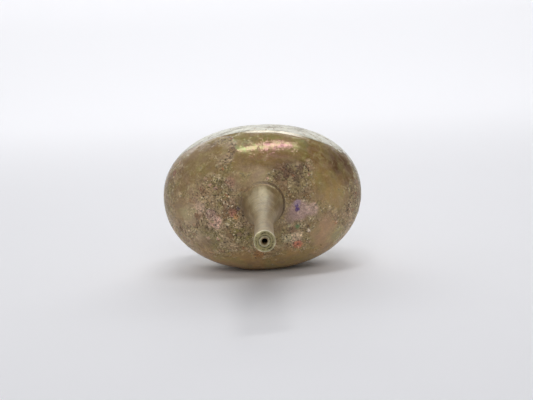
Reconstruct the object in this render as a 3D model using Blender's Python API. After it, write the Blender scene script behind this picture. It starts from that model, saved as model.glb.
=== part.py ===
import math

import bmesh
import bpy
from mathutils import Vector

# Sizes in metres. The bottle lies on its broad side, its neck points along -Y, and Z = 0 is what it lies on.
body_width = 0.092
body_above = 0.0322  # from the widest level, where the neck's axis is, up to the top
body_below = 0.0353  # from the widest level down to the lowest curve
shoulder_depth = 0.0278  # from the widest section forward to the shoulder
base_depth = 0.0350  # from the widest section back to the base
rest_flat = 0.0008  # the lowest curve is flat by this much where the bottle rests

neck_length = 0.085
neck_root_radius = 0.0092
neck_waist_radius = 0.0040
neck_waist_at = 0.052  # how far along the neck its taper ends
root_fillet = 0.0010
crease_depth = 0.0005  # a tooled line runs round the neck's root
crease_length = 0.0022

lip_radius = 0.00415
lip_roll = 0.0009  # radius of the rolled edge
lip_flare_length = 0.008
mouth_disc_radius = 0.0022
mouth_disc_drop = 0.0004  # the disc round the mouth lies this far behind the lip
mouth_groove_depth = 0.0005
mouth_radius = 0.00105
mouth_length = 0.003
bore_taper_length = 0.009  # behind the mouth the bore widens over this length

body_wall = 0.0016
shoulder_wall = 0.0020
base_wall = 0.0038
neck_wall = 0.0018

base_kick = 0.0032  # how far the middle of the base is pushed in
base_kick_radius = 0.0165
pontil_radius = 0.0055  # the scar of the rod that held the base
pontil_height = 0.0005
pontil_width = 0.0011

# How full each curve is: 2 is an ellipse, and more is squarer.
shoulder_fullness = 2.1
base_fullness = 2.35
section_fullness_above = 2.15
section_fullness_below = 2.1
neck_taper_power = 1.25
round_from = 0.6  # inside this share of the width the rings turn into circles

sides = 48
pontil_rings = (0.35, 0.7, 1.0, 1.3, 1.7)  # as shares of the scar's radius
base_rings = 12
shoulder_rings = 15
neck_rings = 16
lip_rings = 8
bore_rings = 13
inner_body_rings = 22

neck_level = body_below - rest_flat
half_width = body_width / 2


def ease(share):
    """A smooth step from 0 to 1 as share goes from 0 to 1."""
    share = min(max(share, 0.0), 1.0)
    return share * share * (3 - 2 * share)


def bump(distance, width):
    """A smooth hump, 1 high at no distance."""
    return math.exp(-((distance / width) ** 2))


def signed_power(value, power):
    return math.copysign(abs(value) ** power, value)


def round_ring(y, radius):
    """A circle round the neck's axis."""
    ring = []
    for number in range(sides):
        angle = 2 * math.pi * number / sides
        ring.append(Vector((radius * math.cos(angle), y, neck_level + radius * math.sin(angle))))
    return ring


def base_push(radius):
    """How far the base is pushed in at this radius, less the raised scar."""
    push = base_kick * (1 - ease(radius / base_kick_radius))
    return push - pontil_height * bump(radius - pontil_radius, pontil_width)


def body_y(x, rise, inset, backward):
    """Where the skin of the body is along Y, at x and rise from its axis. inset is 0 outside and 1 inside."""
    fullness = base_fullness if backward else shoulder_fullness
    depth = base_depth - inset * base_wall if backward else inset * shoulder_wall - shoulder_depth
    high = (body_above if rise > 0 else body_below) - inset * body_wall
    power = section_fullness_above if rise > 0 else section_fullness_below
    reach = (abs(x) / (half_width - inset * body_wall)) ** power + (abs(rise) / high) ** power
    share = min(reach ** (1 / power), 1.0)
    y = depth * (1 - share**fullness) ** (1 / fullness)
    if backward:
        y -= base_push(math.hypot(x, rise))
    return y


def body_ring(radius, inset, backward):
    """The ring of the body that is this radius wide. It is a circle at both ends and a broad oval between."""
    wide = half_width - inset * body_wall
    share = min(radius / wide, 1.0)
    roundness = 1 - ease((share * half_width - neck_root_radius) / (round_from * half_width - neck_root_radius))
    ring = []
    for number in range(sides):
        angle = 2 * math.pi * number / sides
        above = math.sin(angle) > 0
        high = (body_above if above else body_below) - inset * body_wall
        high += (wide - high) * roundness
        power = 2 / (section_fullness_above if above else section_fullness_below)
        power += (1 - power) * roundness
        x = share * wide * signed_power(math.cos(angle), power)
        rise = share * high * signed_power(math.sin(angle), power)
        y = body_y(x, rise, inset, backward) if share < 1 else 0.0
        ring.append(Vector((x, y, max(neck_level + rise, inset * body_wall))))
    return ring


def body_rings(inset, first_radius, last_radius, count, backward):
    """Rings from one radius to another over one half of the body, evenly spaced round its curve."""
    wide = half_width - inset * body_wall
    power = (base_fullness if backward else shoulder_fullness) / 2
    first = math.acos(min(first_radius / wide, 1.0) ** power)
    last = math.acos(min(last_radius / wide, 1.0) ** power)
    rings = []
    for number in range(count + 1):
        turn = first + (last - first) * number / count
        radius = wide * max(math.cos(turn), 0.0) ** (1 / power)
        rings.append(body_ring(radius, inset, backward))
    return rings


def neck_radius(reach):
    """Outer radius of the neck at this distance from its root."""
    share = min(reach / neck_waist_at, 1.0)
    taper = ((1 + math.cos(math.pi * share)) / 2) ** neck_taper_power
    radius = neck_waist_radius + (neck_root_radius - neck_waist_radius) * taper
    radius -= crease_depth * bump(reach, crease_length)
    flare = ease((reach - neck_length + lip_roll + lip_flare_length) / lip_flare_length)
    return radius + (lip_radius - neck_waist_radius) * flare


def neck_ring(reach, radius):
    """A ring of the neck. Near the root it follows the curve of the shoulder, and further out it is flat."""
    ring = round_ring(root_y - reach, radius)
    follow = 1 - ease(reach / neck_root_radius)
    for point in ring:
        skin = body_y(point.x, point.z - neck_level, 0, False)
        point.y += (skin - root_y) * follow
    return ring


def outer_rings():
    """The outside, from the middle of the base to the start of the rolled lip."""
    rings = [body_ring(share * pontil_radius, 0, True) for share in pontil_rings]
    rings += body_rings(0, 0.75 * base_kick_radius, half_width, base_rings, True)
    rings += body_rings(0, half_width, neck_root_radius + root_fillet, shoulder_rings, False)[1:]
    length = neck_length - lip_roll
    for number in range(neck_rings + 1):
        reach = root_fillet + (length - root_fillet) * (number / neck_rings) ** 1.15
        rings.append(neck_ring(reach, neck_radius(reach)))
    return rings


def mouth_rings():
    """The rolled lip, the groove inside it, the disc round the mouth, and the mouth itself."""
    rings = []
    centre = neck_length - lip_roll
    for number in range(1, lip_rings):
        angle = math.pi * number / lip_rings
        radius = lip_radius - lip_roll * (1 - math.cos(angle))
        rings.append(round_ring(root_y - centre - lip_roll * math.sin(angle), radius))
    disc = neck_length - mouth_disc_drop
    lip_inside = lip_radius - 2 * lip_roll
    profile = (
        (disc - mouth_groove_depth, (lip_inside + mouth_disc_radius) / 2),
        (disc - 0.3 * mouth_groove_depth, mouth_disc_radius),
        (disc, (mouth_disc_radius + mouth_radius) / 2),
        (disc - 0.5 * mouth_groove_depth, mouth_radius),
        (neck_length - mouth_length, mouth_radius),
    )
    for reach, radius in profile:
        rings.append(round_ring(root_y - reach, radius))
    return rings


def inner_rings():
    """The inside, from behind the mouth to the middle of the base."""
    rings = []
    length = neck_length - mouth_length
    for number in range(1, bore_rings + 1):
        reach = length * (1 - number / (bore_rings + 0.5))
        wide = neck_radius(max(reach, 3 * crease_length)) - neck_wall
        narrow = 1 - ease((length - reach) / bore_taper_length)
        rings.append(round_ring(root_y - reach, wide + (mouth_radius - wide) * narrow))
    wide = half_width - body_wall
    bore_end = neck_root_radius - neck_wall + 2 * root_fillet
    rings += body_rings(1, bore_end, wide, inner_body_rings // 2, False)
    rings += body_rings(1, wide, pontil_radius, inner_body_rings // 2, True)[1:]
    return rings


def join_rings(mesh, first, second):
    """A band of faces between two rings."""
    for number in range(sides):
        after = (number + 1) % sides
        mesh.faces.new((first[number], first[after], second[after], second[number]))


def close_end(mesh, ring):
    """A fan of faces from a ring to a point at its middle."""
    middle = mesh.verts.new(sum((vertex.co for vertex in ring), Vector()) / sides)
    for number in range(sides):
        mesh.faces.new((ring[number], ring[(number + 1) % sides], middle))


def weathered_glass():
    material = bpy.data.materials.new("weathered_glass")
    material.use_nodes = True
    shader = material.node_tree.nodes["Principled BSDF"]
    shader.inputs["Base Color"].default_value = (0.20, 0.14, 0.07, 1)
    shader.inputs["Roughness"].default_value = 0.32
    shader.inputs["Metallic"].default_value = 0.0
    shader.inputs["IOR"].default_value = 1.5
    return material


def make_bottle():
    """The whole blown piece: the outside, the lip, the mouth and the inside are one closed surface."""
    mesh = bmesh.new()
    rings = outer_rings() + mouth_rings() + inner_rings()
    loops = [[mesh.verts.new(point) for point in ring] for ring in rings]
    for first, second in zip(loops, loops[1:]):
        join_rings(mesh, first, second)
    close_end(mesh, loops[0])
    close_end(mesh, loops[-1])
    bmesh.ops.recalc_face_normals(mesh, faces=mesh.faces)
    data = bpy.data.meshes.new("bottle")
    mesh.to_mesh(data)
    mesh.free()
    data.shade_smooth()
    data.set_sharp_from_angle(angle=math.radians(50))
    data.materials.append(weathered_glass())
    bpy.context.scene.collection.objects.link(bpy.data.objects.new("bottle", data))


for thing in list(bpy.data.objects):
    bpy.data.objects.remove(thing)

root_y = body_y(neck_root_radius, 0, 0, False)
make_bottle()
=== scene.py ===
import math

import bpy
import numpy as np
from mathutils import Matrix, Vector, noise


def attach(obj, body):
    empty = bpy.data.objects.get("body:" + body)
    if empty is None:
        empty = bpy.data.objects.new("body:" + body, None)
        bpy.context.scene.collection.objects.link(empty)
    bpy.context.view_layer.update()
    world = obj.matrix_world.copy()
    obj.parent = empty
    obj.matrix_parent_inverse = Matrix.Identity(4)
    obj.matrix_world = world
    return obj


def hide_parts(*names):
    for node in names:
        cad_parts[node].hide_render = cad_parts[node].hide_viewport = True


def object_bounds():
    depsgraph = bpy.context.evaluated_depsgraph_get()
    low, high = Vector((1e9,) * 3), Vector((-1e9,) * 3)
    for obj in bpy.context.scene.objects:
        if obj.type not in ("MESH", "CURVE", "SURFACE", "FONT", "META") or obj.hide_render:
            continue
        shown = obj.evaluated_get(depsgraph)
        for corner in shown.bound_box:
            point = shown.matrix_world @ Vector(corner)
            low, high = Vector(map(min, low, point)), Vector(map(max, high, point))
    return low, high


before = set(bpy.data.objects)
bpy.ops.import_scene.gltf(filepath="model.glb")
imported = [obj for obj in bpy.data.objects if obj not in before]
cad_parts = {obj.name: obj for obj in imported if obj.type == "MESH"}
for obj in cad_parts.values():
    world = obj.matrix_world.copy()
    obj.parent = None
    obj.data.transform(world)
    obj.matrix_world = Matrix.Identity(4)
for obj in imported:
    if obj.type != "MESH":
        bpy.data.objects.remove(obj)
cadLow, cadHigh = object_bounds()
noise.seed_set(1)  # so that every run wears the bottle in the same way
print("frame loaded")


def linearColour(hexCode):
    parts = [int(hexCode[i:i + 2], 16) / 255 for i in (1, 3, 5)]
    return [c / 12.92 if c <= 0.04045 else ((c + 0.055) / 1.055) ** 2.4 for c in parts] + [1.0]


# A socket is named, or numbered where names repeat. A node given as a value is linked by its first live
# output.
def addNode(tree, kind, inputs=None, **settings):
    node = tree.nodes.new(kind)
    for name, value in settings.items():
        setattr(node, name, value)
    for key, value in (inputs or {}).items():
        socket = node.inputs[key] if isinstance(key, int) else None
        socket = socket or next(s for s in node.inputs if s.enabled and s.name == key)
        if isinstance(value, bpy.types.Node):
            value = next(s for s in value.outputs if s.enabled)
        if isinstance(value, bpy.types.NodeSocket):
            tree.links.new(value, socket)
        else:
            socket.default_value = value
    return node


def ease(share):
    share = np.clip(share, 0.0, 1.0)
    return share * share * (3 - 2 * share)


# The blown bottle: one skin outside, over the lip and down inside. Lengths in metres.
bottleShape = {
    "bodyAbove": 0.0322,
    "bodyBelow": 0.0353,
    "shoulderDepth": 0.0278,
    "baseDepth": 0.0350,
    "neckLength": 0.085,
    "neckRootRadius": 0.0092,
    "neckWaistRadius": 0.0040,
    "neckWaistAt": 0.052,
    "rootFillet": 0.0010,
    "creaseDepth": 0.0005,
    "creaseLength": 0.0022,
    "lipRadius": 0.00415,
    "lipRoll": 0.0009,
    "lipFlareLength": 0.008,
    "discRadius": 0.0022,
    "discDrop": 0.0004,
    "grooveDepth": 0.0005,
    "mouthRadius": 0.00105,
    "mouthLength": 0.003,
    "boreTaper": 0.009,
    "bodyWall": 0.0016,
    "shoulderWall": 0.0020,
    "baseWall": 0.0038,
    "neckWall": 0.0018,
    "baseKick": 0.0032,
    "kickRadius": 0.0165,
    "pontilRadius": 0.0055,
    "pontilHeight": 0.0005,
    "pontilWidth": 0.0011,
    "shoulderFullness": 2.1,
    "baseFullness": 2.35,
    "fullnessAbove": 2.15,
    "fullnessBelow": 2.1,
    "taperPower": 1.25,
    "roundFrom": 0.6,
    "around": 300,
    "middleRadius": 0.0006,
    "kickRings": 18,
    "backRings": 52,
    "shoulderRings": 120,
    "neckRings": 64,
    "towardsRoot": 1.15,  # more than 1 draws the neck's rings closer at its root
    "lipRings": 10,
    "boreRings": 13,
    "boreEnd": 0.04,
    "insideRings": 12,
}
shape = bottleShape
halfWidth = cadHigh.x
neckLevel = cadHigh.z - shape["bodyAbove"]
neckAxis = (0.0, 0.0, neckLevel * 1000)  # a point on it, in millimetres
angles = np.arange(shape["around"]) * 2 * math.pi / shape["around"]
cosines, sines = np.cos(angles), np.sin(angles)
above = sines > 0


def signedPower(values, power):
    return np.sign(values) * np.abs(values) ** power


def basePush(radius):
    push = shape["baseKick"] * (1 - ease(radius / shape["kickRadius"]))
    scar = np.exp(-((radius - shape["pontilRadius"]) / shape["pontilWidth"]) ** 2)
    return push - shape["pontilHeight"] * scar


def bodyY(x, rise, inset, backward):
    fullness = shape["baseFullness"] if backward else shape["shoulderFullness"]
    if backward:
        depth = shape["baseDepth"] - inset * shape["baseWall"]
    else:
        depth = inset * shape["shoulderWall"] - shape["shoulderDepth"]
    up = rise > 0
    high = np.where(up, shape["bodyAbove"], shape["bodyBelow"]) - inset * shape["bodyWall"]
    power = np.where(up, shape["fullnessAbove"], shape["fullnessBelow"])
    reach = (np.abs(x) / (halfWidth - inset * shape["bodyWall"])) ** power + (np.abs(rise) / high) ** power
    share = np.minimum(reach ** (1 / power), 1.0)
    y = depth * (1 - share ** fullness) ** (1 / fullness)
    return y - basePush(np.hypot(x, rise)) if backward else y


def bodyRing(radius, inset, backward):
    wide = halfWidth - inset * shape["bodyWall"]
    share = min(radius / wide, 1.0)
    span = shape["roundFrom"] * halfWidth - shape["neckRootRadius"]
    roundness = 1 - ease((share * halfWidth - shape["neckRootRadius"]) / span)
    high = np.where(above, shape["bodyAbove"], shape["bodyBelow"]) - inset * shape["bodyWall"]
    high = high + (wide - high) * roundness
    power = 2 / np.where(above, shape["fullnessAbove"], shape["fullnessBelow"])
    power = power + (1 - power) * roundness
    x = share * wide * signedPower(cosines, power)
    rise = share * high * signedPower(sines, power)
    y = bodyY(x, rise, inset, backward) if share < 1 else 0 * x
    z = np.maximum(neckLevel + rise, inset * shape["bodyWall"])
    return np.stack([x, y, z], 1)


def bodyRings(inset, firstRadius, lastRadius, count, backward):
    wide = halfWidth - inset * shape["bodyWall"]
    power = (shape["baseFullness"] if backward else shape["shoulderFullness"]) / 2
    turns = [math.acos(min(r / wide, 1.0) ** power) for r in (firstRadius, lastRadius)]
    rings = []
    for turn in np.linspace(*turns, count + 1):
        rings.append(bodyRing(wide * max(math.cos(turn), 0.0) ** (1 / power), inset, backward))
    return rings


def neckRadius(reach):
    share = np.minimum(reach / shape["neckWaistAt"], 1.0)
    taper = ((1 + np.cos(math.pi * share)) / 2) ** shape["taperPower"]
    radius = shape["neckWaistRadius"] + (shape["neckRootRadius"] - shape["neckWaistRadius"]) * taper
    radius = radius - shape["creaseDepth"] * np.exp(-((reach / shape["creaseLength"]) ** 2))
    flareStart = shape["neckLength"] - shape["lipRoll"] - shape["lipFlareLength"]
    flare = ease((reach - flareStart) / shape["lipFlareLength"])
    return radius + (shape["lipRadius"] - shape["neckWaistRadius"]) * flare


rootY = float(bodyY(np.array([shape["neckRootRadius"]]), np.array([0.0]), 0, False)[0])


def roundRing(reach, radius):
    y = np.full_like(angles, rootY - reach)
    return np.stack([radius * cosines, y, neckLevel + radius * sines], 1)


def neckRing(reach):
    ring = roundRing(reach, neckRadius(reach))
    skin = bodyY(ring[:, 0], ring[:, 2] - neckLevel, 0, False)
    ring[:, 1] += (skin - rootY) * (1 - ease(reach / shape["neckRootRadius"]))
    return ring


def outerSkin():
    radii = np.linspace(shape["middleRadius"], 0.7 * shape["kickRadius"], shape["kickRings"])
    rings = [bodyRing(radius, 0, True) for radius in radii]
    rings += bodyRings(0, 0.75 * shape["kickRadius"], halfWidth, shape["backRings"], True)
    rootEdge = shape["neckRootRadius"] + shape["rootFillet"]
    rings += bodyRings(0, halfWidth, rootEdge, shape["shoulderRings"], False)[1:]
    straight = shape["neckLength"] - shape["lipRoll"]
    for share in np.linspace(0, 1, shape["neckRings"] + 1):
        share **= shape["towardsRoot"]
        rings.append(neckRing(shape["rootFillet"] + (straight - shape["rootFillet"]) * share))
    return rings


def lipAndMouth():
    rings = []
    centre = shape["neckLength"] - shape["lipRoll"]
    for turn in np.linspace(0, math.pi, shape["lipRings"] + 2)[1:-1]:
        radius = shape["lipRadius"] - shape["lipRoll"] * (1 - math.cos(turn))
        rings.append(roundRing(centre + shape["lipRoll"] * math.sin(turn), radius))
    disc = shape["neckLength"] - shape["discDrop"]
    lipInside = shape["lipRadius"] - 2 * shape["lipRoll"]
    profile = (
        (disc - 0.8 * shape["grooveDepth"], lipInside),
        (disc - shape["grooveDepth"], (lipInside + shape["discRadius"]) / 2),
        (disc - 0.3 * shape["grooveDepth"], shape["discRadius"]),
        (disc, 0.55 * shape["discRadius"] + 0.45 * shape["mouthRadius"]),
        (disc - 0.15 * shape["grooveDepth"], 1.15 * shape["mouthRadius"]),
        (disc - 0.8 * shape["grooveDepth"], shape["mouthRadius"]),
        (shape["neckLength"] - shape["mouthLength"], shape["mouthRadius"]),
    )
    return rings + [roundRing(reach, radius) for reach, radius in profile]


def innerSkin():
    rings = []
    length = shape["neckLength"] - shape["mouthLength"]
    for share in np.linspace(1, shape["boreEnd"], shape["boreRings"] + 1)[1:]:
        reach = length * share
        wide = neckRadius(max(reach, 3 * shape["creaseLength"])) - shape["neckWall"]
        narrow = 1 - ease((length - reach) / shape["boreTaper"])
        rings.append(roundRing(reach, wide + (shape["mouthRadius"] - wide) * narrow))
    wide = halfWidth - shape["bodyWall"]
    boreEdge = shape["neckRootRadius"] - shape["neckWall"] + 2 * shape["rootFillet"]
    rings += bodyRings(1, boreEdge, wide, shape["insideRings"], False)
    rings += bodyRings(1, wide, shape["pontilRadius"], shape["insideRings"], True)[1:]
    return rings


# How the skin is worn, in millimetres. Every dip goes inward from the bottle's outer form.
weathering = {
    "waveDepth": 0.16, "waveSize": 19.0,  # the slight unevenness of glass blown by hand
    "crustDepth": 0.20, "crustSize": 2.3, "crustContrast": 1.6,
    "pitDepth": 0.26, "pitSize": 3.6, "pitShare": 0.24, "pitFromCrust": (1.4, -0.3),
    "stepDepth": 0.12,  # the pale film lies this much above the bare shoulder
    "milkEdgeTop": -9.3, "milkEdgeSides": -2.0, "milkEdgeLow": 7.0,  # behind this Y the pale film covers the body
    "milkFalls": (61.5, 50.0), "milkLow": (42.0, 8.0),  # between these heights its edge moves back
    "milkSlant": -0.066, "milkStray": 0.1, "milkBlend": 3.4, "milkFray": 13.0,
    "crustShare": 0.55, "crustFloor": 9.5, "crustCeiling": 49.0, "crustBlend": 4.5,
    "backFrom": (-8.0, 0.0), "backCrust": (0.45, 1.1, 13.0),  # its share on the back, how it varies and its size
    "neckFrom": (-27.5, -37.5), "neckCrust": 0.22,
    "patchCore": 0.5, "patchEdge": 0.9, "patchStray": 0.3,  # how a patch fades, as shares of its radius
    "wanderSize": 9.0, "wander": 4.5,  # how far the edges of the zones stray
    "flatRise": (0.1, 1.3),  # the resting flat stays smooth, and is worn in full from here up
    "neckCalm": (-28.0, -33.0, 0.85),  # the neck's finer wear is in its material
    "lipCalm": (-104.0, -109.0, 0.8),
}

# More or less crust than its zone gives: centre, radius and amount. Millimetres, from the bottle's origin.
crustPatches = (
    ((-14.3, -12.9, 61.9), 2.4, 0.9),
    ((-12.8, -16.0, 60.0), 2.2, 1.0),
    ((-12.6, -18.6, 57.8), 2.2, 1.0),
    ((-14.6, -20.4, 55.0), 2.4, 1.0),
    ((-17.3, -21.8, 51.9), 3.0, 0.9),
    ((-24.0, -12.6, 58.8), 3.0, 0.6),
    ((-18.5, -13.0, 61.0), 3.0, 0.7),
    ((-22.0, -19.0, 54.0), 4.0, 0.3),
    ((5.0, -25.5, 46.6), 2.6, 0.9),
    ((10.5, -24.7, 47.9), 3.4, 1.0),
    ((15.5, -24.0, 49.0), 3.6, 0.9),
    ((20.5, -22.8, 49.0), 3.4, 0.6),
    ((-21.0, -23.5, 26.0), 15.0, 0.5),
    ((-14.0, -25.5, 27.0), 9.0, 0.6),
    ((-4.4, -31.3, 42.5), 2.8, 0.9),
    ((-5.5, -38.0, 41.0), 3.0, 0.8),
    ((-0.8, -32.0, 43.4), 2.0, 0.5),
    ((0.0, -112.0, 34.5), 4.5, 0.4),
    ((-24.0, -22.5, 40.0), 8.0, 0.25),
    ((-17.0, -25.0, 42.5), 4.0, 0.3),
    ((16.5, -25.5, 40.0), 6.0, 0.3),
    ((-36.0, -15.5, 23.0), 5.0, 0.4),
    ((40.0, -12.0, 26.0), 6.0, 0.3),
    ((-38.0, -10.0, 50.0), 5.0, 0.35),
    ((28.0, -21.0, 42.0), 6.0, 0.15),
    ((13.5, -23.3, 19.0), 6.5, 0.6),
    ((0.0, -21.5, 12.0), 6.0, 0.35),
    ((42.0, -11.0, 33.0), 6.0, 0.25),
    ((-0.7, -25.8, 46.3), 4.5, -0.35),
    ((-8.0, -26.0, 46.0), 4.0, -0.3),
    ((27.5, -18.5, 17.5), 7.5, -0.8),
    ((36.1, -13.6, 48.3), 8.0, -0.6),
    ((-34.0, -17.0, 42.0), 7.0, -0.25),
    ((-36.0, -16.5, 28.0), 6.0, -0.25),
    ((-9.0, -27.0, 35.0), 3.5, -0.5),
    ((27.5, -20.5, 42.0), 8.0, -0.55),
    ((33.0, -18.5, 35.0), 6.0, -0.35),
    ((-26.0, -20.5, 17.5), 6.0, -0.6),
    ((-34.5, -18.0, 29.0), 6.0, -0.4),
    ((-28.1, -22.5, 33.6), 3.5, -0.4),
    ((16.5, -26.0, 30.5), 4.0, -0.1),
    ((-5.5, -16.6, 60.7), 2.4, 0.6),
)


def noiseAt(points, size, octaves=3):
    return np.array([noise.fractal(Vector(p) / size, 1.0, 2.0, octaves) for p in points])


# Goes smoothly from 0 to 1 as values pass from the first limit to the second.
def between(values, limits):
    return ease((values - limits[0]) / (limits[1] - limits[0]))


# The shares of crust and of pale film at each point of the outer skin.
def zonesOf(points):
    wear = weathering
    stray = [noise.noise_vector(Vector(p) / wear["wanderSize"]) for p in points]
    stray = wear["wander"] * np.array([list(v) for v in stray])
    height, blend = points[:, 2] + stray[:, 2], wear["crustBlend"]
    crust = wear["crustShare"] * between(height, (wear["crustFloor"] - blend, wear["crustFloor"] + blend))
    crust *= 1 - between(height, (wear["crustCeiling"] - blend, wear["crustCeiling"] + blend))
    behind = between(points[:, 1], wear["backFrom"])
    share, varies, size = wear["backCrust"]
    crust = crust * (1 - behind) + behind * np.clip(share + varies * noiseAt(points, size), 0, 1)
    onNeck = between(points[:, 1], wear["neckFrom"])
    crust = crust * (1 - onNeck) + wear["neckCrust"] * onNeck
    near = points + wear["patchStray"] * stray
    for centre, radius, amount in crustPatches:
        reach = np.linalg.norm(near - np.array(centre), axis=1) / radius
        crust += amount * (1 - ease((reach - wear["patchCore"]) / wear["patchEdge"]))
    edge = wear["milkEdgeTop"] + wear["milkSlant"] * points[:, 0] + wear["milkStray"] * stray[:, 1]
    side = between(points[:, 2], wear["milkFalls"])
    edge += (wear["milkEdgeSides"] - wear["milkEdgeTop"]) * side
    edge += (wear["milkEdgeLow"] - wear["milkEdgeSides"]) * between(points[:, 2], wear["milkLow"])
    blend = wear["milkBlend"] + (wear["milkFray"] - wear["milkBlend"]) * side
    milk = ease((points[:, 1] - edge) / blend + 0.5)
    return np.clip(crust, 0, 1), milk


# Moves the outer skin inward where it is worn.
def weatherSkin(points, normals):
    wear = weathering
    inMm = points * 1000
    crust, milk = zonesOf(inMm)
    wave = 0.5 + 0.5 * np.clip(noiseAt(inMm, wear["waveSize"], 2), -1, 1)
    rough = 0.5 + 0.5 * np.clip(wear["crustContrast"] * noiseAt(inMm, wear["crustSize"], 4), -1, 1)
    nearest = np.array([noise.voronoi(Vector(p) / wear["pitSize"])[0][0] for p in inMm])
    pit = 1 - ease(nearest / wear["pitShare"])
    start, end, calmed = wear["neckCalm"]
    rough *= 1 - calmed * between(inMm[:, 1], (start, end))
    depth = wear["waveDepth"] * wave + crust * wear["crustDepth"] * rough
    rises, offset = wear["pitFromCrust"]
    depth += wear["pitDepth"] * pit * np.clip(crust * rises + offset, 0, 1)
    depth += wear["stepDepth"] * (1 - milk)
    depth *= between(inMm[:, 2], wear["flatRise"])
    start, end, calmed = wear["lipCalm"]
    depth *= 1 - calmed * between(inMm[:, 1], (start, end))
    points -= normals * depth[:, None] / 1000
    return crust, milk


def loftMesh(name, rings):
    count, around = len(rings), shape["around"]
    points = np.concatenate(rings)
    ends = [rings[0].mean(0), rings[-1].mean(0)]
    points = np.concatenate([points, np.array(ends)])
    index = np.arange(count * around).reshape(count, around)
    after = np.roll(index, -1, 1)
    quads = np.stack([index[:-1], after[:-1], after[1:], index[1:]], -1).reshape(-1, 4)
    first = [(int(a), int(b), count * around) for a, b in zip(after[0], index[0])]
    last = [(int(a), int(b), count * around + 1) for a, b in zip(index[-1], after[-1])]
    mesh = bpy.data.meshes.new(name)
    mesh.from_pydata(points.tolist(), [], quads.tolist() + first + last)
    mesh.update()
    return mesh


def makeBottle():
    outer = outerSkin()
    mesh = loftMesh("blownBottle", outer + lipAndMouth() + innerSkin())
    total, worn = len(mesh.vertices), len(outer) * shape["around"]
    points, normals = np.empty(total * 3), np.empty(total * 3)
    mesh.vertices.foreach_get("co", points)
    mesh.vertices.foreach_get("normal", normals)
    points, normals = points.reshape(-1, 3), normals.reshape(-1, 3)
    crust, milk = weatherSkin(points[:worn], normals[:worn])
    mesh.vertices.foreach_set("co", points.reshape(-1))
    mesh.update()
    for name, values in (("crust", crust), ("milk", milk)):
        layer = mesh.attributes.new(name, "FLOAT", "POINT")
        layer.data.foreach_set("value", np.concatenate([values, np.zeros(total - worn)]))
    mesh.shade_smooth()
    bottle = bpy.data.objects.new("blownBottle", mesh)
    bpy.context.scene.collection.objects.link(bottle)
    return bottle


blownBottle = makeBottle()
print("bottle:", len(blownBottle.data.polygons), "faces")

# Tones of the glass from the resting side to the top, as shares of the bottle's height.
heightTones = {
    0.02: "#ab8752", 0.12: "#b08c56", 0.22: "#ad9066", 0.45: "#a1875f", 0.68: "#9b8157", 0.82: "#8d7546",
    0.95: "#8a7244",
}

# Broad tones and small stains: place and radius in millimetres, colour, and how strong it is.
broadTones = {
    "oliveTop": ((16.0, -21.0, 53.8), 7.5, "#7f6f33", 0.9),
    "brownTop": ((3.5, -22.0, 54.4), 8.5, "#846838", 0.9),
    "brownShoulder": ((25.0, -16.0, 55.5), 6.5, "#7d5d31", 0.85),
    "brownRight": ((36.0, -14.0, 48.0), 9.5, "#5c3f22", 0.95),
    "brownRightLow": ((39.5, -14.0, 41.0), 5.5, "#7f623d", 0.8),
    "goldRight": ((31.5, -20.3, 36.5), 7.0, "#aa8b56", 0.8),
    "goldMiddle": ((26.0, -21.5, 44.0), 6.0, "#987a45", 0.8),
    "brownMiddle": ((16.6, -25.5, 38.5), 5.5, "#846b43", 0.8),
    "darkStreak": ((10.5, -24.9, 47.3), 5.0, "#553826", 0.95),
    "darkStreakRight": ((17.0, -24.0, 48.0), 5.4, "#5a3e27", 0.9),
    "paleAbove": ((-0.5, -26.0, 45.2), 5.2, "#bba384", 0.85),
    "paleAboveLeft": ((-8.0, -25.6, 45.5), 5.5, "#ab916c", 0.75),
    "pinkAboveLeft": ((-14.5, -25.4, 42.3), 4.0, "#b09378", 0.7),
    "ridgeHigh": ((-12.8, -15.5, 60.2), 3.4, "#bba68b", 0.85),
    "ridgeLow": ((-14.8, -20.5, 55.3), 2.8, "#a99479", 0.7),
    "taupeLeft": ((-37.5, -12.0, 46.5), 9.0, "#8a714c", 0.8),
    "taupeUpper": ((-26.0, -14.0, 56.5), 7.0, "#937d5a", 0.7),
    "beigeLeft": ((-36.5, -17.3, 34.0), 6.0, "#957a50", 0.8),
    "palePinkLeft": ((-28.2, -22.2, 32.2), 5.0, "#cfae8d", 0.9),
    "paleLeftHigh": ((-28.0, -21.5, 37.5), 6.0, "#c0a27a", 0.9),
    "strawLeft": ((-33.3, -19.2, 30.5), 3.6, "#b8a87e", 0.7),
    "pinkLow": ((-21.8, -23.7, 25.3), 4.6, "#bf9e83", 0.8),
    "goldLow": ((-17.7, -22.8, 17.6), 4.6, "#bda883", 0.8),
    "greyLow": ((-23.8, -21.0, 18.6), 5.0, "#7f6a4a", 0.85),
    "oliveLow": ((-9.5, -24.8, 20.5), 5.0, "#827639", 0.85),
    "brownByNeck": ((-9.5, -27.0, 34.0), 4.5, "#7c6845", 0.75),
    "salmonRight": ((28.0, -19.2, 19.5), 7.5, "#b48f6a", 0.85),
    "beigeByNeck": ((14.0, -24.8, 23.0), 5.0, "#96805c", 0.7),
    "greenRim": ((33.8, -14.2, 16.6), 4.4, "#aaa268", 0.8),
    "paleLow": ((-32.5, -17.3, 21.5), 5.5, "#c9b290", 0.85),
}
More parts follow.
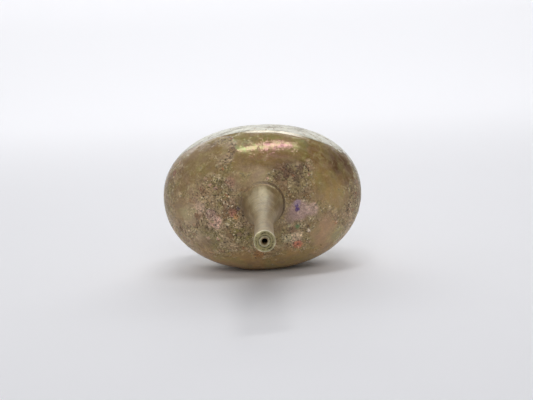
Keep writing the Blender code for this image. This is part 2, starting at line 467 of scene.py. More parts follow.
stains = {
    "lilacHalo": ((16.0, -26.0, 30.6), 4.6, "#ba9993", 0.8),
    "lilacLow": ((12.0, -26.4, 27.5), 2.6, "#ac8f84", 0.6),
    "lilacRight": ((21.7, -24.3, 30.4), 3.0, "#cfae9f", 0.85),
    "violetPale": ((15.4, -26.2, 34.0), 1.6, "#aa91a0", 0.85),
    "violetTop": ((15.0, -26.3, 32.6), 0.9, "#644a7c", 1.0),
    "violetCore": ((15.3, -26.3, 31.0), 1.1, "#5e4378", 1.0),
    "greenFleck": ((15.0, -24.8, 23.3), 1.1, "#5b7c4c", 0.95),
    "creamCluster": ((13.8, -23.0, 17.6), 3.1, "#d8bd9c", 0.9),
    "creamClusterLeft": ((10.0, -23.8, 17.8), 2.2, "#cbbd92", 0.85),
    "coral": ((14.9, -21.5, 14.2), 2.2, "#cf7c60", 0.95),
    "whiteFleck": ((20.1, -22.9, 20.9), 0.8, "#e2cfb8", 0.95),
    "brownFleck": ((19.6, -23.1, 22.6), 0.9, "#5c4430", 0.8),
    "rustFleckHigh": ((30.6, -18.9, 24.4), 0.9, "#b06a47", 0.7),
    "rustFleck": ((32.6, -17.7, 23.2), 1.0, "#a3623f", 0.7),
    "rosyLeft": ((-23.4, -24.0, 30.2), 2.6, "#bb9689", 0.8),
    "palePink": ((-28.1, -22.5, 33.4), 2.6, "#cbab91", 0.85),
    "pinkLeft": ((-20.6, -24.5, 27.5), 1.8, "#e6bba6", 1.0),
    "pinkLeftLow": ((-21.2, -24.1, 24.9), 1.5, "#e3bda8", 0.9),
    "redLeft": ((-13.5, -26.2, 31.2), 1.9, "#b3705d", 0.8),
    "orangeLeft": ((-12.2, -26.2, 29.2), 1.3, "#d09c66", 0.9),
    "rustLeft": ((-29.6, -21.6, 29.3), 1.6, "#865a3c", 0.85),
    "brownRed": ((-15.0, -26.0, 34.5), 3.4, "#86624c", 0.65),
    "plum": ((-11.0, -26.8, 32.8), 0.9, "#5f4c56", 0.85),
    "rosyHigh": ((-14.1, -25.3, 44.6), 2.4, "#a9806a", 0.75),
    "brownHigh": ((13.4, -24.6, 47.6), 1.8, "#62472f", 0.85),
    "redRim": ((-39.7, -9.9, 47.7), 1.3, "#8d4f44", 0.8),
    "orangeBottom": ((-2.8, -21.0, 10.6), 2.4, "#b27a45", 0.7),
    "pitBottom": ((-4.3, -19.0, 8.4), 0.5, "#3b2a1c", 0.9),
    "pitRight": ((25.5, -16.2, 12.4), 0.6, "#4a3623", 0.9),
    "speckTop": ((8.1, -16.5, 60.4), 0.45, "#35272b", 0.95),
    "speckMiddle": ((0.8, -18.6, 58.7), 0.45, "#54402e", 0.9),
    "speckLeft": ((-3.5, -15.8, 61.3), 0.5, "#5a4a30", 0.9),
}

# Blown soda-lime glass after long burial: brown and olive glass under thin films that shine in colours, with
# a pitted, flaking crust on the shoulder and a pale milky film over the back. Sizes in millimetres. A band is
# where a value starts to count, where it counts in full, and the shares at these two.
glassFinish = {
    "patterns": {  # how large its forms are, then detail, roughness and distortion
        "tone": (13.0, 3.0, 0.55, 0.6),
        "film": (5.0, 3.0, 0.60, 0.4),
        "clump": (2.6, 3.0, 0.60, 0.5),
        "crumb": (0.95, 3.0, 0.62, 0.7),
        "grain": (0.8, 3.0, 0.65, 0.4),
        "fine": (0.6, 3.0, 0.65, 0.0),
    },
    "streakWidth": 2.4, "streakLength": 3.0, "streakDepth": -0.5,
    "toneStray": (7.0, 6.0), "stainStray": (1.2, 2.2),  # over what size an edge strays, and twice how far
    "toneEdge": 0.55, "stainEdge": 0.3,  # how soft a spot's edge is, as a share of its radius
    "films": (
        ("tone", "#8d8450", (0.50, 0.64, 0.0, 0.40)),
        ("tone", "#b0927a", (0.50, 0.36, 0.0, 0.18)),
        ("film", "#8d8450", (0.50, 0.64, 0.0, 0.45)),
        ("film", "#b0927a", (0.50, 0.36, 0.0, 0.2025)),
        ("streak", "#a08c6b", (0.50, 0.62, 0.0, 0.28)),
    ),
    "darkStreaks": (0.46, 0.34, 1.0, 0.93),
    "crustClump": 1.5, "crustFilm": 1.2, "crusted": (1.35, 2.45, 0.0, 1.0),
    "grainContrast": (0.0, 1.0, 0.75, 2.5),
    "shade": 0.27, "shadeClump": 0.5, "shadeFilm": 1.06, "shadeLeast": 0.3,
    "glossyRoughness": (0.35, 0.65, 0.13, 0.23), "crustRoughness": 0.44, "neckRoughness": 0.34,
    "milkDull": 0.6, "ior": 1.5, "specular": 0.42,
    "crumbRelief": 0.35, "crustRelief": 0.42,
    "relief": {"sunk": -0.10, "fine": 0.005, "clump": 0.05, "streak": 0.05},
}

crustFinish = {
    "flakeSize": 2.7, "flakePick": (0.55, 0.95, 0.0, 0.75), "flakeColours": ("#cbb08b", "#876647", "#9d8c60"),
    "crackWidth": (0.10, 0.02, 0.0, 0.55), "crackPatches": (0.44, 0.56, 0.0, 1.0),
    "chipSize": 2.3, "chipPick": (0.94, 0.96, 0.0, 0.7), "chipColours": ("#d6aa98", "#dad2a6", "#a0623f"),
    "chipEdge": (0.50, 0.34, 0.0, 1.0),
    "stainBreaks": (0.36, 0.52, 0.68, 1.0),
    "paleCrumb": "#e6d6b4", "paleCrumbs": (0.56, 0.64, 0.0, 0.9), "paleGathers": (0.40, 0.58, 0.25, 1.0),
    "fewPaleAt": (13.5, -24.5, 48.0), "fewPale": (5.7, 9.5, 0.4, 1.0),  # there are fewer this near to the place
    "darkCrumb": "#3b2a18", "darkCrumbs": (0.45, 0.38, 0.0, 0.95), "darkHollows": (0.58, 0.42, 0.3, 1.0),
}

# The neck is painted paler on top and darker at the sides, with a painted highlight streak along its top: painted
# light and shade. The lip shows rings of wear from its edge to the mouth.
neckFinish = {
    "onNeck": (-28.5, -34.0, 0.0, 1.0), "covers": 0.9, "coversCrust": -0.55,
    # sides, top and streak are the neck's painted shade, painted light and painted highlight streak.
    "sides": "#776241", "top": "#8f7f5b", "streak": "#bdb08c", "nearLip": "#95825e",
    "litTopAcross": -2.6, "litTopEdge": (0.0, 2.0),  # millimetres above the neck's axis, less the distance to the side
    "highlightStreakEdge": (2.4, 0.9, 0.0, 1.0), "highlightStreakReach": (-62.0, -36.0, 0.25, 1.0),
    "nearLipReach": (-48.0, -85.0, 0.0, 0.7),
    "patinaSize": 3.125, "patinaStretch": (1.0, 0.14, 1.0),
    "patina": {"#b3aa88": (0.50, 0.66, 0.0, 0.45), "#64502f": (0.48, 0.34, 0.0, 0.40)},  # pale and dark film
    # root is painted shade: a dark line in the crease at the neck's root, darker to the right.
    "root": "#5f4c33", "rootShadeLine": (0.3, 0.5),  # how far out the dark line at the root is, and its half width
    "rootReach": (-31.0, -29.0, 0.0, 1.0), "rootShade": (-4.0, 5.0, 0.35, 0.9),
    "lip": (-110.6, -111.5, 0.0, 0.92), "ringStray": 1.6,
    # The palest, outermost ring stands partly for a painted highlight on the rim's rounded edge.
    "lipRings": {0.27: "#6b523a", 0.34: "#8f825d", 0.46: "#b5ad90", 0.58: "#a79d74", 0.70: "#9b9062",
                 0.84: "#a0966a", 0.93: "#aea57b", 0.975: "#e9dfba"},
    "lipDark": "#4f4428", "arcBreaks": (0.45, 0.55, 0.0, 1.0),
    "lipArcs": ((2.2, 0.17), (3.1, 0.21)),  # radius and half width of the broken dark rings
}

# The milky film behind the shoulder, with a dark line where it ends that is partly painted shade of its edge, and
# a painted highlight along that edge.
milkFinish = {
    "shade": "#a5a18a", "light": "#cbcabb", "lightStreaks": (0.36, 0.58, 0.0, 1.0),
    "falls": (40.0, 60.0, 0.6, 1.0),  # it thins out down the sides
    "dark": "#645c47", "scratches": (0.43, 0.385, 0.0, 0.75), "fewerBehind": (2.0, 12.0, 1.0, 0.4),
    "thins": (0.34, 0.48, 0.40, 0.93),
    "frayClump": 1.1, "frayFilm": 1.4, "frays": (60.0, 52.0, 0.0, 1.0),  # down the sides it frays into patches
    # The dark line along the film's edge is partly its own dark rim and partly painted shade under its step.
    "covers": (0.42, 0.60, 0.0, 1.0), "edgeShadeLine": (0.40, 0.07, 0.45),
    "scarStray": 2.0, "scarWidth": 0.8, "scarReach": (24.0, 26.0, 0.0, 0.6),
    # glint is a painted highlight: a bright line along the film's edge on top of the shoulder.
    "paintedGlint": "#fff4dc", "paintedGlintBands": ((0.0, 0.14, 0.0, 1.0), (0.80, 0.60, 0.0, 1.0)),
    "paintedGlintSpan": ((-9.0, -3.0, 0.0, 1.0), (23.0, 14.0, 0.0, 1.0)), "paintedGlintHigh": (57.0, 60.0, 0.0, 1.0),
}

# The thin film that gives the colours, in nanometres. It thickens to the right, thins again at the end and
# wavers.
filmFinish = {
    "thickness": 455.0, "rise": 1.3, "turn": 13.0, "fall": -6.0, "turnSoftness": 20.0, "wavers": 90.0,
    "highStray": 6.0, "above": 56.5, "before": -13.0, "onlyBare": 0.5,
    "spanStray": 8.0, "span": (8.5, 17.5),  # its middle and half width
    "ior": 1.7,
}


# Multiplies a share by bands of values. Each ramp is a value and its band.
def shareWhere(tree, share, *ramps, how="SMOOTHSTEP"):
    for value, (start, full, least, most) in ramps:
        band = addNode(tree, "ShaderNodeMapRange", {"Value": value, "From Min": start, "From Max": full,
                                                    "To Min": least, "To Max": most}, interpolation_type=how)
        share = addNode(tree, "ShaderNodeMath", {0: share, 1: band}, operation="MULTIPLY")
    return share


# Lays a colour over another, as much as the share and the ramps let it.
def paintWhere(tree, colour, paint, share, *ramps):
    paint = linearColour(paint) if isinstance(paint, str) else paint
    share = shareWhere(tree, share, *ramps)
    return addNode(tree, "ShaderNodeMix", {"Factor": share, "A": colour, "B": paint}, data_type="RGBA")


# Lets a pattern's edges stray by up to half this distance.
def wander(tree, place, size, distance):
    drift = addNode(tree, "ShaderNodeTexNoise", {"Vector": place, "Scale": 1 / size, "Detail": 2.0})
    centred = addNode(tree, "ShaderNodeVectorMath", {0: drift.outputs["Color"], 1: (0.5, 0.5, 0.5)},
                      operation="SUBTRACT")
    return addNode(tree, "ShaderNodeVectorMath", {0: centred, 1: (distance,) * 3, 2: place},
                   operation="MULTIPLY_ADD")


# Each spot is a soft-edged ball of colour, and broken thins it where the pattern in it is low.
def paintSpots(tree, colour, place, spots, edge, broken=1.0):
    for at, radius, hexCode, strength in spots.values():
        reach = addNode(tree, "ShaderNodeVectorMath", {0: place, 1: at}, operation="DISTANCE")
        ball = (radius * (1 + edge), radius * (1 - edge), 0.0, strength)
        colour = paintWhere(tree, colour, hexCode, broken, (reach, ball))
    return colour


# Stretches a pattern into streaks that run round the neck's axis, as the glass was turned.
def aroundNeck(tree, place):
    look = glassFinish
    toShares = (1 / (halfWidth * 1000), 0.0, 1 / (shape["bodyBelow"] * 1000))
    centred = addNode(tree, "ShaderNodeVectorMath", {0: place, 1: neckAxis}, operation="SUBTRACT")
    flat = addNode(tree, "ShaderNodeVectorMath", {0: centred, 1: toShares}, operation="MULTIPLY")
    radius = addNode(tree, "ShaderNodeVectorMath", {0: flat}, operation="LENGTH")
    turn = addNode(tree, "ShaderNodeVectorMath", {0: flat}, operation="NORMALIZE")
    slow = addNode(tree, "ShaderNodeVectorMath", {0: turn, "Scale": look["streakLength"]}, operation="SCALE")
    parts = addNode(tree, "ShaderNodeSeparateXYZ", {0: slow})
    depth = addNode(tree, "ShaderNodeSeparateXYZ", {0: place})
    away = addNode(tree, "ShaderNodeMath", {0: radius, 1: halfWidth * 1000}, operation="MULTIPLY")
    depth = addNode(tree, "ShaderNodeMath", {0: depth.outputs["Y"]}, operation="ABSOLUTE")
    away = addNode(tree, "ShaderNodeMath", {0: depth, 1: look["streakDepth"], 2: away}, operation="MULTIPLY_ADD")
    away = addNode(tree, "ShaderNodeMath", {0: away, 1: look["streakWidth"]}, operation="DIVIDE")
    return addNode(tree, "ShaderNodeCombineXYZ", {0: away, 1: parts.outputs["X"], 2: parts.outputs["Z"]})


def fillRamp(ramp, tones):
    stops = ramp.color_ramp.elements
    while len(stops) < len(tones):
        stops.new(0.5)
    for stop, (position, hexCode) in zip(stops, tones.items()):
        stop.position = position
        stop.color = linearColour(hexCode)


# What every layer reads: place in millimetres, the worn zones and the patterns.
def surfaceOf(tree):
    look = glassFinish
    metres = addNode(tree, "ShaderNodeTexCoord").outputs["Object"]
    place = addNode(tree, "ShaderNodeVectorMath", {0: metres, "Scale": 1000.0}, operation="SCALE").outputs[0]
    at = {"place": place, "near": wander(tree, place, *look["stainStray"])}
    parts = addNode(tree, "ShaderNodeSeparateXYZ", {0: place}).outputs
    at.update({axis: parts[axis] for axis in "XYZ"})
    for name in ("crust", "milk"):
        at[name] = addNode(tree, "ShaderNodeAttribute", attribute_name=name).outputs["Fac"]
    for name, (size, detail, roughness, distortion) in look["patterns"].items():
        settings = {"Vector": place, "Scale": 1 / size, "Detail": detail, "Roughness": roughness}
        at[name] = addNode(tree, "ShaderNodeTexNoise", {**settings, "Distortion": distortion}).outputs["Fac"]
    streak = addNode(tree, "ShaderNodeTexNoise", {"Vector": aroundNeck(tree, place), "Scale": 1.0,
                                                  "Detail": 4.0, "Roughness": 0.6})
    axis = addNode(tree, "ShaderNodeVectorMath", {0: place, 1: neckAxis}, operation="SUBTRACT")
    across = addNode(tree, "ShaderNodeVectorMath", {0: axis, 1: (1.0, 0.0, 1.0)}, operation="MULTIPLY")
    at["fromAxis"] = addNode(tree, "ShaderNodeVectorMath", {0: across}, operation="LENGTH").outputs["Value"]
    # Crust thins out in patches, so its zone is broken up by clumps of two sizes.
    patchy = addNode(tree, "ShaderNodeMath", {0: at["clump"], 1: look["crustClump"], 2: at["crust"]},
                     operation="MULTIPLY_ADD")
    patchy = addNode(tree, "ShaderNodeMath", {0: at["film"], 1: look["crustFilm"], 2: patchy},
                     operation="MULTIPLY_ADD")
    at["crusted"] = shareWhere(tree, 1.0, (patchy, look["crusted"])).outputs[0]
    at["neck"] = shareWhere(tree, 1.0, (at["Y"], neckFinish["onNeck"])).outputs[0]
    at["streak"] = addNode(tree, "ShaderNodeMix", {"Factor": at["neck"], "A": streak, "B": 0.5}).outputs[0]
    return at


# The glass itself: broad tones, with films that follow its turning.
def glassTones(tree, at):
    look = glassFinish
    broad = wander(tree, at["place"], *look["toneStray"])
    height = addNode(tree, "ShaderNodeSeparateXYZ", {0: broad}).outputs["Z"]
    height = addNode(tree, "ShaderNodeMath", {0: height, 1: cadHigh.z * 1000}, operation="DIVIDE")
    colour = addNode(tree, "ShaderNodeValToRGB", {0: height})
    fillRamp(colour, heightTones)
    colour = paintSpots(tree, colour.outputs["Color"], broad, broadTones, look["toneEdge"])
    for name, hexCode, band in look["films"]:
        colour = paintWhere(tree, colour, hexCode, 1.0, (at[name], band))
    dark = shareWhere(tree, 1.0, (at["streak"], look["darkStreaks"]))
    return addNode(tree, "ShaderNodeMix", {"Factor": 1.0, "A": colour, "B": dark}, data_type="RGBA",
                   blend_type="MULTIPLY")


# Flakes with thin cracks between them, chips of other colours, stains, and pale and dark crumbs.
def crustOver(tree, colour, at):
    look = crustFinish
    flakes = addNode(tree, "ShaderNodeTexVoronoi", {"Vector": at["near"], "Scale": 1 / look["flakeSize"]})
    picks = addNode(tree, "ShaderNodeSeparateColor", {0: flakes.outputs["Color"]}).outputs
    for pick, hexCode in zip(picks, look["flakeColours"]):
        colour = paintWhere(tree, colour, hexCode, at["crusted"], (pick, look["flakePick"]))
    cracks = addNode(tree, "ShaderNodeTexVoronoi", {"Vector": at["near"], "Scale": 1 / look["flakeSize"]},
                     feature="DISTANCE_TO_EDGE")
    crack = shareWhere(tree, at["crusted"], (cracks, look["crackWidth"]), (at["film"], look["crackPatches"]))

    chips = addNode(tree, "ShaderNodeTexVoronoi", {"Vector": at["near"], "Scale": 1 / look["chipSize"]})
    picks = addNode(tree, "ShaderNodeSeparateColor", {0: chips.outputs["Color"]}).outputs
    inside = shareWhere(tree, at["crusted"], (chips.outputs["Distance"], look["chipEdge"]))
    for pick, hexCode in zip(picks, look["chipColours"]):
        colour = paintWhere(tree, colour, hexCode, inside, (pick, look["chipPick"]))
    broken = shareWhere(tree, 1.0, (at["crumb"], look["stainBreaks"]))
    colour = paintSpots(tree, colour, at["near"], stains, glassFinish["stainEdge"], broken)

    apart = addNode(tree, "ShaderNodeVectorMath", {0: at["near"], 1: look["fewPaleAt"]}, operation="DISTANCE")
    colour = paintWhere(tree, colour, look["paleCrumb"], at["crusted"], (at["crumb"], look["paleCrumbs"]),
                        (at["film"], look["paleGathers"]), (apart, look["fewPale"]))
    dark = shareWhere(tree, at["crusted"], (at["grain"], look["darkCrumbs"]), (at["clump"], look["darkHollows"]))
    dark = addNode(tree, "ShaderNodeMath", {0: dark, 1: crack}, operation="MAXIMUM")
    at["sunk"] = dark.outputs[0]
    return paintWhere(tree, colour, look["darkCrumb"], dark)


def neckOver(tree, colour, at):
    look = neckFinish
    # Painted light and shade: a paler top, darker sides and a painted highlight streak along the top of the neck.
    side = addNode(tree, "ShaderNodeMath", {0: at["X"], 1: look["litTopAcross"]}, operation="SUBTRACT")
    side = addNode(tree, "ShaderNodeMath", {0: side}, operation="ABSOLUTE")
    upper = addNode(tree, "ShaderNodeMath", {0: at["Z"], 1: side}, operation="SUBTRACT")
    low, high = (neckLevel * 1000 + height for height in look["litTopEdge"])
    top = shareWhere(tree, 1.0, (upper, (low, high, 0.0, 1.0)))
    tone = paintWhere(tree, linearColour(look["sides"]), look["top"], top)
    side = addNode(tree, "ShaderNodeMath", {0: at["X"]}, operation="ABSOLUTE")
    tone = paintWhere(tree, tone, look["streak"], top, (side, look["highlightStreakEdge"]), (at["Y"], look["highlightStreakReach"]))
    tone = paintWhere(tree, tone, look["nearLip"], 1.0, (at["Y"], look["nearLipReach"]))
    along = addNode(tree, "ShaderNodeVectorMath", {0: at["place"], 1: look["patinaStretch"]}, operation="MULTIPLY")
    patina = addNode(tree, "ShaderNodeTexNoise", {"Vector": along, "Scale": 1 / look["patinaSize"],
                                                  "Detail": 3.0, "Roughness": 0.65})
    for hexCode, band in look["patina"].items():
        tone = paintWhere(tree, tone, hexCode, 1.0, (patina, band))
    worn = addNode(tree, "ShaderNodeMath", {0: at["crusted"], 1: look["coversCrust"], 2: look["covers"]},
                   operation="MULTIPLY_ADD")
    worn = addNode(tree, "ShaderNodeMath", {0: worn, 1: at["neck"]}, operation="MULTIPLY")
    colour = paintWhere(tree, colour, tone, worn)
    # A painted shade line in the crease at the neck's root, darker to the right.
    out, half = look["rootShadeLine"]
    root = addNode(tree, "ShaderNodeMath", {0: at["fromAxis"], 1: shape["neckRootRadius"] * 1000 + out, 2: half},
                   operation="COMPARE")
    root = shareWhere(tree, root, (at["Y"], look["rootReach"]), how="LINEAR")
    return paintWhere(tree, colour, look["root"], root, (at["X"], look["rootShade"]))


# The rings of the lip stray a little, so that each is worn through in places.
def lipOver(tree, colour, at):
    look = neckFinish
    strayed = addNode(tree, "ShaderNodeMath", {0: at["clump"], 1: look["ringStray"], 2: at["fromAxis"]},
                      operation="MULTIPLY_ADD")
    share = addNode(tree, "ShaderNodeMath", {0: strayed, 1: look["ringStray"] / 2}, operation="SUBTRACT")
    share = addNode(tree, "ShaderNodeMath", {0: share, 1: shape["lipRadius"] * 1000}, operation="DIVIDE")
    # The palest ring at the lip's outer edge is partly a painted highlight on the rounded rim.
    rings = addNode(tree, "ShaderNodeValToRGB", {0: share})
    fillRamp(rings, look["lipRings"])
    rings = rings.outputs["Color"]
    for radius, half in look["lipArcs"]:
        arc = addNode(tree, "ShaderNodeMath", {0: strayed, 1: radius + look["ringStray"] / 2, 2: half},
                      operation="COMPARE")
        rings = paintWhere(tree, rings, look["lipDark"], arc, (at["crumb"], look["arcBreaks"]))
    return paintWhere(tree, colour, rings, 1.0, (at["Y"], look["lip"]))


def milkOver(tree, colour, at):
    look = milkFinish
    tone = paintWhere(tree, linearColour(look["shade"]), look["light"], 1.0, (at["streak"], look["lightStreaks"]))
    falling = shareWhere(tree, 1.0, (at["Z"], look["falls"]))
    tone = paintWhere(tree, tone, look["dark"], falling, (at["streak"], look["scratches"]),
                      (at["Y"], look["fewerBehind"]))
    middle = -(look["frayClump"] + look["frayFilm"]) / 2
    ragged = addNode(tree, "ShaderNodeMath", {0: at["clump"], 1: look["frayClump"], 2: middle},
                     operation="MULTIPLY_ADD")
    ragged = addNode(tree, "ShaderNodeMath", {0: at["film"], 1: look["frayFilm"], 2: ragged},
                     operation="MULTIPLY_ADD")
    ragged = shareWhere(tree, ragged, (at["Z"], look["frays"]))
    ragged = addNode(tree, "ShaderNodeMath", {0: ragged, 1: at["milk"]}, operation="ADD")
    covered = shareWhere(tree, falling, (at["clump"], look["thins"]), (ragged, look["covers"]))
    at["covered"] = covered.outputs[0]
    colour = paintWhere(tree, colour, tone, covered)

    # A dark line along the film's edge: partly the film's own dark rim, partly painted shade under its step.
    start, half, strength = look["edgeShadeLine"]
    line = addNode(tree, "ShaderNodeMath", {0: ragged, 1: start, 2: half}, operation="COMPARE")
    line = addNode(tree, "ShaderNodeMath", {0: line, 1: strength}, operation="MULTIPLY")
    # The broken scar of the rod that held the base.
    scar = addNode(tree, "ShaderNodeMath", {0: at["crumb"], 1: look["scarStray"], 2: at["fromAxis"]},
                   operation="MULTIPLY_ADD")
    radius = shape["pontilRadius"] * 1000 + look["scarStray"] / 2
    scar = addNode(tree, "ShaderNodeMath", {0: scar, 1: radius, 2: look["scarWidth"]}, operation="COMPARE")
    scar = shareWhere(tree, scar, (at["Y"], look["scarReach"]), how="LINEAR")
    line = addNode(tree, "ShaderNodeMath", {0: line, 1: scar}, operation="MAXIMUM")
    colour = paintWhere(tree, colour, look["dark"], line)

    # A painted highlight: a bright line along the film's edge on top of the shoulder.
    high = shareWhere(tree, 1.0, (at["Z"], look["paintedGlintHigh"]), how="LINEAR")
    bands = [(at["milk"], band) for band in look["paintedGlintBands"]]
    spans = [(at["X"], span) for span in look["paintedGlintSpan"]]
    return paintWhere(tree, colour, look["paintedGlint"], high, *bands, *spans)


def filmOver(tree, at):
    look = filmFinish
    rise = addNode(tree, "ShaderNodeMath", {0: at["X"], 1: look["rise"], 2: look["thickness"]},
                   operation="MULTIPLY_ADD")
    turned = look["thickness"] + (look["rise"] - look["fall"]) * look["turn"]
    fall = addNode(tree, "ShaderNodeMath", {0: at["X"], 1: look["fall"], 2: turned}, operation="MULTIPLY_ADD")
    thick = addNode(tree, "ShaderNodeMath", {0: rise, 1: fall, 2: look["turnSoftness"]}, operation="SMOOTH_MIN")
    waver = addNode(tree, "ShaderNodeMath", {0: at["clump"], 1: 0.5}, operation="SUBTRACT")
    thick = addNode(tree, "ShaderNodeMath", {0: waver, 1: look["wavers"], 2: thick}, operation="MULTIPLY_ADD")
    high = addNode(tree, "ShaderNodeMath", {0: at["film"], 1: look["highStray"], 2: at["Z"]},
                   operation="MULTIPLY_ADD")
    across = addNode(tree, "ShaderNodeMath", {0: at["clump"], 1: look["spanStray"], 2: at["X"]},
                     operation="MULTIPLY_ADD")
    middle, half = look["span"]
    limits = (
        ("LESS_THAN", {0: at["crusted"], 1: look["onlyBare"]}),
        ("GREATER_THAN", {0: high, 1: look["above"]}),
        ("LESS_THAN", {0: at["Y"], 1: look["before"]}),
        ("COMPARE", {0: across, 1: middle, 2: half}),
    )
    for operation, values in limits:
        there = addNode(tree, "ShaderNodeMath", values, operation=operation)
        thick = addNode(tree, "ShaderNodeMath", {0: thick, 1: there}, operation="MULTIPLY")
    return thick.outputs[0]


def weatheredGlass():
    look = glassFinish
    material = bpy.data.materials.new("weatheredBlownGlass")
    material.use_nodes = True
    tree = material.node_tree
    shader = tree.nodes["Principled BSDF"]
    at = surfaceOf(tree)
    colour = glassTones(tree, at)
    for layer in (crustOver, neckOver, lipOver, milkOver):
        colour = layer(tree, colour, at)

    # A grain over all, slight on the glass and strong in the crust, so that no tone lies flat.
    grain = addNode(tree, "ShaderNodeMath", {0: at["grain"], 1: 0.5}, operation="SUBTRACT")
    grain = shareWhere(tree, grain, (at["crusted"], look["grainContrast"]), how="LINEAR")
    shade = addNode(tree, "ShaderNodeMath", {0: grain, 1: look["shade"]}, operation="ADD")
    for name, amount in (("clump", look["shadeClump"]), ("film", look["shadeFilm"])):
        shade = addNode(tree, "ShaderNodeMath", {0: at[name], 1: amount, 2: shade}, operation="MULTIPLY_ADD")
    shade = addNode(tree, "ShaderNodeMath", {0: shade, 1: look["shadeLeast"]}, operation="MAXIMUM")
    colour = addNode(tree, "ShaderNodeMix", {"Factor": 1.0, "A": colour, "B": shade}, data_type="RGBA",
                     blend_type="MULTIPLY")
    tree.links.new(colour.outputs[2], shader.inputs["Base Color"])

    # Gloss: wet-looking on the bare glass, duller on crust and on the milky film.
    smooth = shareWhere(tree, 1.0, (at["fine"], look["glossyRoughness"]), how="LINEAR")
    dull = addNode(tree, "ShaderNodeMath", {0: at["covered"], 1: look["milkDull"]}, operation="MULTIPLY")
    dull = addNode(tree, "ShaderNodeMath", {0: at["crusted"], 1: dull}, operation="MAXIMUM")
    roughness = addNode(tree, "ShaderNodeMix", {"Factor": dull, "A": smooth, "B": look["crustRoughness"]})
    roughness = addNode(tree, "ShaderNodeMix", {"Factor": at["neck"], "A": roughness, "B": look["neckRoughness"]})
    tree.links.new(roughness.outputs[0], shader.inputs["Roughness"])
    tree.links.new(filmOver(tree, at), shader.inputs["Thin Film Thickness"])
    shader.inputs["Thin Film IOR"].default_value = filmFinish["ior"]
    shader.inputs["IOR"].default_value = look["ior"]
    shader.inputs["Specular IOR Level"].default_value = look["specular"]

    # Relief too fine for the mesh, as real heights in millimetres.
    height = addNode(tree, "ShaderNodeMath", {0: at["crumb"], 1: look["crumbRelief"], 2: at["grain"]},
                     operation="MULTIPLY_ADD")
    height = addNode(tree, "ShaderNodeMath", {0: height, 1: at["crusted"]}, operation="MULTIPLY")
    height = addNode(tree, "ShaderNodeMath", {0: height, 1: look["crustRelief"]}, operation="MULTIPLY")
    for name, amount in look["relief"].items():
        height = addNode(tree, "ShaderNodeMath", {0: at[name], 1: amount, 2: height}, operation="MULTIPLY_ADD")
    bump = addNode(tree, "ShaderNodeBump", {"Height": height, "Strength": 1.0, "Distance": 0.001})
    tree.links.new(bump.outputs["Normal"], shader.inputs["Normal"])
    return material


blownBottle.data.materials.append(weatheredGlass())
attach(blownBottle, "root")
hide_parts("bottle")
print("glass finished")

# The pale sheet it lies on sweeps up behind it.
sweep = {
    "halfWidth": 3.0,
    "front": -3.0,
    "bendStart": 0.7,
    "bendRadius": 1.2,
    "height": 2.4,
    "bendSteps": 24,
    "paper": "#ebebee",
}


def makeSweep():
    profile = [(sweep["front"], 0.0), (sweep["bendStart"], 0.0)]
    for turn in np.linspace(0, math.pi / 2, sweep["bendSteps"] + 1)[1:]:
        y = sweep["bendStart"] + sweep["bendRadius"] * math.sin(turn)
        profile.append((y, sweep["bendRadius"] * (1 - math.cos(turn))))
    profile.append((profile[-1][0], sweep["height"]))
    points, faces = [], []
    for y, z in profile:
        points += [(-sweep["halfWidth"], y, z), (sweep["halfWidth"], y, z)]
    for i in range(len(profile) - 1):
        faces.append((2 * i, 2 * i + 1, 2 * i + 3, 2 * i + 2))
    mesh = bpy.data.meshes.new("paperSweep")
    mesh.from_pydata(points, [], faces)
    mesh.shade_smooth()
    paper = bpy.data.materials.new("mattePaper")
    paper.use_nodes = True
    paperShader = paper.node_tree.nodes["Principled BSDF"]
    paperShader.inputs["Base Color"].default_value = linearColour(sweep["paper"])
    paperShader.inputs["Roughness"].default_value = 0.9
    mesh.materials.append(paper)
    thing = bpy.data.objects.new("paperSweep", mesh)
    bpy.context.scene.collection.objects.link(thing)


makeSweep()

# Soft lights. Each is a flat panel: where it is, what it looks at, its size and its power in watts.
lights = {
    "overheadBox": {"at": (0.034, -0.062, 0.55), "aim": (0, 0, 0.03), "size": (0.33, 0.10), "watts": 0.74,
                    "turn": -11},
    "rearStrip": {"at": (0.10, 0.28, 0.56), "aim": (0, 0, 0.03), "size": (0.26, 0.02), "watts": 0.15},
    "rearBox": {"at": (0.0, 0.75, 0.62), "aim": (0, 0, 0.03), "size": (1.3, 0.45), "watts": 2.1},
    "frontFill": {"at": (0.0, -0.9, 0.8), "aim": (0, 0, 0.03), "size": (0.8, 0.5), "watts": 2.9},
    "sideLeft": {"at": (-0.9, 0.1, 0.5), "aim": (0, 0, 0.03), "size": (0.5, 0.7), "watts": 0.4},
    "backdropWash": {"at": (0.0, 1.15, 1.0), "aim": (0, 1.42, 0.2), "size": (2.4, 0.5), "watts": 12.6},
}
fillOnly = ("frontFill", "sideLeft")  # these brighten the front and leave no highlight in the glass
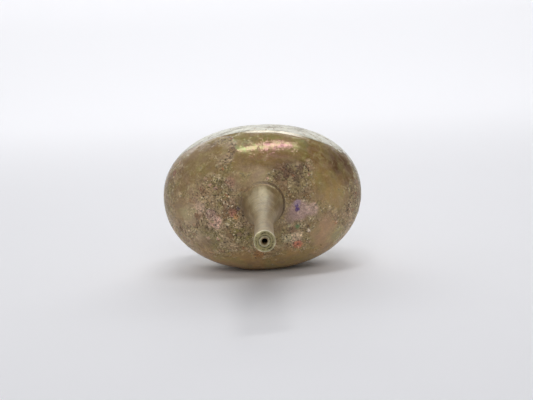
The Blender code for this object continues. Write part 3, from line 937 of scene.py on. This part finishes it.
for name, light in lights.items():
    data = bpy.data.lights.new(name, "AREA")
    data.shape = "RECTANGLE"
    data.size, data.size_y = light["size"]
    data.energy = light["watts"]
    lamp = bpy.data.objects.new(name, data)
    bpy.context.scene.collection.objects.link(lamp)
    lamp.location = light["at"]
    lamp.rotation_euler = (Vector(light["aim"]) - Vector(light["at"])).to_track_quat("-Z", "Y").to_euler()
    lamp.rotation_euler.rotate_axis("Z", math.radians(light.get("turn", 0)))
    lamp.visible_camera = False
    lamp.visible_glossy = name not in fillOnly

roomLight = {"colour": "#f4f5f8", "strength": 0.33}
room = bpy.data.worlds.new("paleRoom")
room.use_nodes = True
background = room.node_tree.nodes["Background"]
background.inputs["Color"].default_value = linearColour(roomLight["colour"])
background.inputs["Strength"].default_value = roomLight["strength"]
bpy.context.scene.world = room
bpy.context.scene.view_settings.view_transform = "Standard"

# The camera stands where the photograph was taken from. Pixels are in its 533 by 400 frame.
viewpoint = {
    "distance": 0.558,
    "sensorWidth": 36.0,
    "elevation": 9.2,
    "roll": 2.7,
    "focalPixels": 1200.0,
    "bodyAtPixel": (262.5, 196.5),
    "frameWidth": 533,
    "frameHeight": 400,
}


def makeCamera():
    data = bpy.data.cameras.new("camera")
    data.sensor_width = viewpoint["sensorWidth"]
    data.lens = viewpoint["focalPixels"] * data.sensor_width / viewpoint["frameWidth"]
    camera = bpy.data.objects.new("camera", data)
    bpy.context.scene.collection.objects.link(camera)
    tilt, roll = math.radians(viewpoint["elevation"]), math.radians(viewpoint["roll"])
    forward = Vector((0, math.cos(tilt), -math.sin(tilt)))
    right, up = Vector((1, 0, 0)), Vector((0, math.sin(tilt), math.cos(tilt)))
    right, up = right * math.cos(roll) - up * math.sin(roll), right * math.sin(roll) + up * math.cos(roll)
    middle = Vector((0, 0, (cadLow.z + cadHigh.z) / 2))
    camera.location = middle - forward * viewpoint["distance"]
    # Turned a little so that the body falls on its own pixel and not on the frame's centre.
    across = viewpoint["frameWidth"] / 2 - viewpoint["bodyAtPixel"][0]
    down = viewpoint["frameHeight"] / 2 - viewpoint["bodyAtPixel"][1]
    aim = (forward + (right * across - up * down) / viewpoint["focalPixels"]).normalized()
    right = aim.cross(up).normalized()
    up = right.cross(aim)
    camera.rotation_euler = Matrix((right, up, -aim)).transposed().to_euler()
    bpy.context.scene.camera = camera


makeCamera()
print("lights and camera placed")
